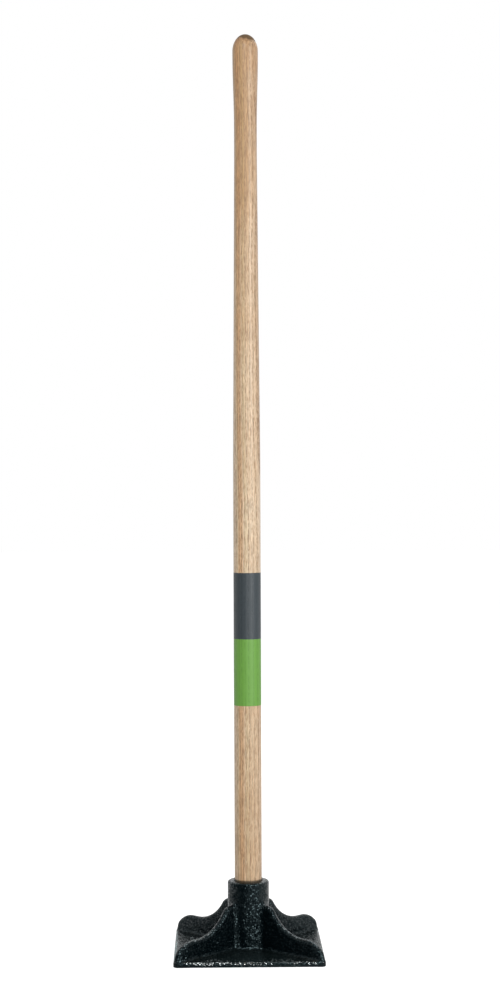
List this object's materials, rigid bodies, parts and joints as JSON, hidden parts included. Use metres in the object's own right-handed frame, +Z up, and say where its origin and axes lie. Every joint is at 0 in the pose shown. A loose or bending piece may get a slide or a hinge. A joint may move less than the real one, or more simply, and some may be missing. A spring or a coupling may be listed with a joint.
{
  "type": "hand tamper",
  "caption": "Hand tamper for packing soil: a square cast head with diagonal ribs and a socket, on a long turned wooden handle with two coloured wraps.",
  "frame": {"origin": "centre of the flat sole, on the ground", "axes": "+Z up along the handle, -Y towards the front of the tool, +X to its right seen from the front"},
  "size_m": [0.2032, 0.2032, 1.2622],
  "materials": {
    "head_paint": "dark speckled gloss paint on cast iron",
    "ash": "turned ash with a thin clear coat",
    "screw_steel": "zinc plated steel",
    "film_slate": "coloured film, satin",
    "film_green": "coloured film, satin"
  },
  "bodies": {
    "root": {"tamper_head": "head_paint", "handle": "ash", "retaining_screw": "screw_steel", "label_upper": "film_slate", "label_lower": "film_green"}
  },
  "joints": []
}
